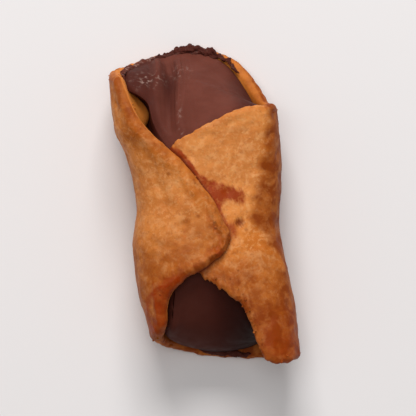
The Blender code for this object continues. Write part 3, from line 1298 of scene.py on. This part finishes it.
        # Deeper painted shade: the lower end's right side, and underneath near the floor.
        low_end = smooth_step(along, -12.0, -20.0) * smooth_step(across, -4.0, 9.0)
        underneath = smooth_step(up, 10.0, 4.0) * smooth_step(along, 0.0, -8.0)
        bloom = 0.5 * hump(across, -1.8, 2.0) * hump(along, 31.4, 1.6)
        bloom = bloom + 0.8 * hump(across, -9.6, 3.2) * hump(along, 30.6, 1.6)
        bloom = bloom + 0.3 * hump(line, -2.7, 0.6) * smooth_step(up, 15.0, 21.0) * top
        return {
            "shade": np.clip(shade, 0.0, 1.0),
            "gloom": np.maximum(low_end, underneath),
            "bloom": bloom,
            "relief": np.ones(len(points)),
            "crumbs": smooth_step(along, 27.0, 33.0),
        }


@dataclass
class CreamCrest:
    """A ragged ridge of cream that a spatula left along part of an end's rim."""

    dough: DoughSheet
    end: End
    name: str
    turns: tuple[float, float]
    thickness: Points
    depth: float
    height: float
    relief: Relief
    shade: float = 0.8
    bloom: float = 0.1
    segments: int = 260
    sides: int = 48

    def build(self, relief_tree: ReliefTree, material: Material) -> Piece:
        """Sweeps a lumpy tube along the rim and closes its two ends.

        Args:
            relief_tree: The tree that makes it ragged.
            material: The cream's finish.

        Returns:
            The finished piece.
        """
        share = np.linspace(0.0, 1.0, self.segments)[:, None]
        turn = self.turns[0] + (self.turns[1] - self.turns[0]) * share
        around = np.linspace(0.0, 2 * math.pi, self.sides, endpoint=False)[None, :]
        taper = np.sqrt(np.clip(1 - (2 * share - 1) ** 8, 0.0, 1.0))
        radius = curve(self.thickness, turn) * taper
        points = self.dough.edge(self.end, turn)
        out = self.end.value * (self.height + radius * np.sin(around))
        along = points + out
        depth = self.depth + 1.25 * radius * np.cos(around)
        turn = turn + np.zeros_like(along)
        tube = self.dough.roll.point(turn, along, depth)
        columns, rows = tube.shape[:2]
        index = np.arange(columns * rows).reshape(columns, rows)
        index = np.concatenate([index, index[:, :1]], axis=1)
        faces = grid_faces(columns, rows + 1, index)
        faces = faces[:, :: self.end.value].tolist()
        for column, order in ((0, 1), (columns - 1, -1)):
            loop = index[column, :-1].tolist()
            faces.append(loop[:: order * self.end.value])
        flat = tube.reshape(-1, 3)
        values = {
            "shade": np.full(len(flat), self.shade),
            "bloom": np.full(len(flat), self.bloom),
            "relief": (np.ones_like(tube[..., 0]) * np.minimum(taper, 1.0)).ravel(),
            "crumbs": np.ones(len(flat)),
        }
        mesh = new_mesh(f"{self.name}_skin", flat, faces, values)
        return relief_tree.raised(self.name, mesh, self.relief, material)


@dataclass
class WallSmear:
    """The thin coat of cream left on the inner wall at the top left."""

    dough: DoughSheet
    turns: tuple[float, float] = (-112.0, -30.0)
    coat: float = 0.5
    reach: Points = ((-112.0, 2.0), (-95.0, 3.8), (-70.0, 5.2), (-45.0, 6.5), (-30.0, 5.0))
    columns: int = 120
    rows: int = 60
    relief: Relief = field(default_factory=lambda: Relief(2.6, 0.25, 2.0, 0.0, 0.8, 0.07, seed=40.0))

    def build(self, relief_tree: ReliefTree, material: Material) -> Piece:
        """Makes the coat as a closed sheet that thins out at its border.

        Args:
            relief_tree: The tree that makes it uneven.
            material: The cream's finish.

        Returns:
            The finished piece.
        """
        share = crowded(self.columns, 0.6)[:, None]
        across = crowded(self.rows, 0.6)[None, :]
        turn = self.turns[0] + (self.turns[1] - self.turns[0]) * share
        high = self.dough.edge(End.TOP, turn) - 0.5
        low = high - curve(self.reach, turn) - 0.8 * wander(turn, 14.0, seed=33)
        along = low + (high - low) * across
        turn = turn + np.zeros_like(along)
        border = np.minimum(np.minimum(share, 1 - share) * 6, np.minimum(across, 1 - across) * 5)
        coat = self.coat * np.sqrt(np.clip(border, 0.0, 1.0))
        bedded = self.dough.wall - 0.25
        over = self.dough.roll.point(turn, along, bedded - 0.05 + np.zeros_like(coat))
        under = self.dough.roll.point(turn, along, bedded + 0.25 + coat)
        full = np.ones_like(turn)
        values = {
            "shade": (0.25 * full, 0.25 * full),
            "bloom": (full, 0.8 * hump(turn, -60.0, 26.0) * smooth_step(along, 26.0, 30.0)),
            "relief": (0 * full, np.clip(border, 0.0, 1.0)),
            "crumbs": (0 * full, 0.4 * full),
        }
        mesh = closed_sheet("cream_smear_skin", over, under, values)
        return relief_tree.raised("cream_smear", mesh, self.relief, material)


@dataclass
class Crumbs:
    """Ragged crumbs strewn over a finished piece, where its crumbs attribute asks."""

    name: str
    density: float
    sizes: tuple[float, float]
    seed: int

    def build(self, under: Piece, scatter: ScatterTree, material: Material) -> Piece:
        """Strews the crumbs.

        Args:
            under: The piece that they lie on.
            scatter: The tree that strews them.
            material: Their finish.

        Returns:
            The crumbs as one piece.
        """
        values = {
            "Density": self.density,
            "Least Size": self.sizes[0],
            "Largest Size": self.sizes[1],
            "Seed": self.seed,
            "Material": material,
        }
        return grown(self.name, under.data.copy(), scatter.tree, values)


@dataclass
class Studio:
    """A near-white floor, soft lamps and a camera that looks straight down."""

    floor_colour: Colour = (0.78, 0.75, 0.745)
    floor_size: float = 3.0
    camera_height: float = 0.8
    lens: float = 300.0
    lean: float = 7.9
    world_strength: float = 0.24
    key: tuple[float, float] = (8.5, 0.45)
    fill: tuple[float, float] = (5.5, 0.6)

    def lay_floor(self) -> None:
        """Lays the floor at the surface that the cannolo lies on."""
        half = self.floor_size / 2
        corners = [(-half, -half, 0.0), (half, -half, 0.0), (half, half, 0.0), (-half, half, 0.0)]
        mesh = bpy.data.meshes.new("floor")
        mesh.from_pydata(corners, [], [(0, 1, 2, 3)])
        floor = bpy.data.objects.new("floor", mesh)
        bpy.context.scene.collection.objects.link(floor)
        material = bpy.data.materials.new("pale_floor")
        material.use_nodes = True
        shader = material.node_tree.nodes["Principled BSDF"]
        shader.inputs["Base Color"].default_value = (*self.floor_colour, 1.0)
        shader.inputs["Roughness"].default_value = 0.75
        shader.inputs["Specular IOR Level"].default_value = 0.2
        mesh.materials.append(material)

    def hang_lamp(
        self, name: str, place: tuple[float, float, float], power: float, size: float
    ) -> None:
        """Hangs a white square lamp that points at the cannolo.

        Args:
            name: The lamp's name.
            place: Where it hangs.
            power: Its power in watts.
            size: Its side in metres.
        """
        light = bpy.data.lights.new(name, "AREA")
        light.energy = power
        light.size = size
        lamp = bpy.data.objects.new(name, light)
        bpy.context.scene.collection.objects.link(lamp)
        lamp.location = place
        lamp.rotation_euler = (-lamp.location).to_track_quat("-Z", "Y").to_euler()

    def light(self) -> None:
        """Sets the lamps and the world's even light."""
        self.hang_lamp("key", (0.08, 0.75, 0.72), *self.key)
        self.hang_lamp("fill", (-0.1, 0.15, 1.3), *self.fill)
        world = bpy.data.worlds.new("studio")
        world.use_nodes = True
        background = world.node_tree.nodes["Background"]
        background.inputs["Color"].default_value = (1.0, 1.0, 1.0, 1.0)
        background.inputs["Strength"].default_value = self.world_strength
        bpy.context.scene.world = world

    def set_camera(self) -> None:
        """Sets the camera above the cannolo, turned so that the roll leans to the left."""
        data = bpy.data.cameras.new("camera")
        data.lens = self.lens
        data.clip_start = 0.01
        camera = bpy.data.objects.new("camera", data)
        bpy.context.scene.collection.objects.link(camera)
        camera.location = (0.0, 0.0, self.camera_height)
        camera.rotation_euler = (0.0, 0.0, -math.radians(self.lean))
        bpy.context.scene.camera = camera
        bpy.context.scene.view_settings.view_transform = "Standard"


def main() -> None:
    """Builds the studio and every piece of the cannolo."""
    logging.basicConfig(level=logging.INFO, format="%(name)s: %(message)s")
    studio = Studio()
    studio.lay_floor()
    studio.light()
    studio.set_camera()

    effects = SharedEffects()
    relief_tree, scatter = ReliefTree(), ScatterTree()
    dough_skin = DoughFinish().material(effects)
    cream_skin = CreamFinish().material(effects)

    dough = DoughSheet(Roll())
    shell = hand_in(dough.build(relief_tree, dough_skin), Slot.DOUGH, "pastry_shell")
    cream = CocoaCream(dough)
    filling = hand_in(cream.build(relief_tree, cream_skin), Slot.CREAM, "cocoa_cream")
    crests = [
        CreamCrest(
            dough,
            End.TOP,
            "cream_crest_top",
            turns=(-42.0, 46.0),
            thickness=((-42.0, 0.4), (-15.0, 0.8), (8.0, 1.2), (24.0, 0.9), (46.0, 0.35)),
            depth=3.4,
            height=-0.6,
            relief=Relief(2.8, 2.1, 2.0, 0.0, 0.9, 0.38, seed=51.0),
        ),
        CreamCrest(
            dough,
            End.TOP,
            "cream_crest_left",
            turns=(-92.0, -24.0),
            thickness=((-92.0, 0.4), (-70.0, 0.75), (-45.0, 0.8), (-24.0, 0.7)),
            depth=3.3,
            height=-0.7,
            relief=Relief(3.0, 0.5, 2.0, 0.0, 0.9, 0.12, seed=57.0),
            shade=0.35,
            bloom=0.6,
        ),
        CreamCrest(
            dough,
            End.BOTTOM,
            "cream_crest_bottom",
            turns=(-30.0, 24.0),
            thickness=((-30.0, 0.4), (-10.0, 0.8), (10.0, 0.8), (24.0, 0.4)),
            depth=3.2,
            height=-1.1,
            relief=Relief(2.6, 0.9, 1.6, 0.0, 0.8, 0.3, seed=63.0),
        ),
    ]
    ridges = [hand_in(crest.build(relief_tree, cream_skin), Slot.CREAM) for crest in crests]
    hand_in(WallSmear(dough).build(relief_tree, cream_skin), Slot.CREAM)
    pastry = Crumbs("pastry_crumbs", density=1.4, sizes=(0.2, 0.8), seed=4)
    hand_in(pastry.build(shell, scatter, dough_skin), Slot.DOUGH)
    cocoa = Crumbs("cocoa_crumbs", density=0.35, sizes=(0.3, 1.3), seed=9)
    hand_in(cocoa.build(ridges[0], scatter, cream_skin), Slot.CREAM)


if __name__ == "__main__":
    main()
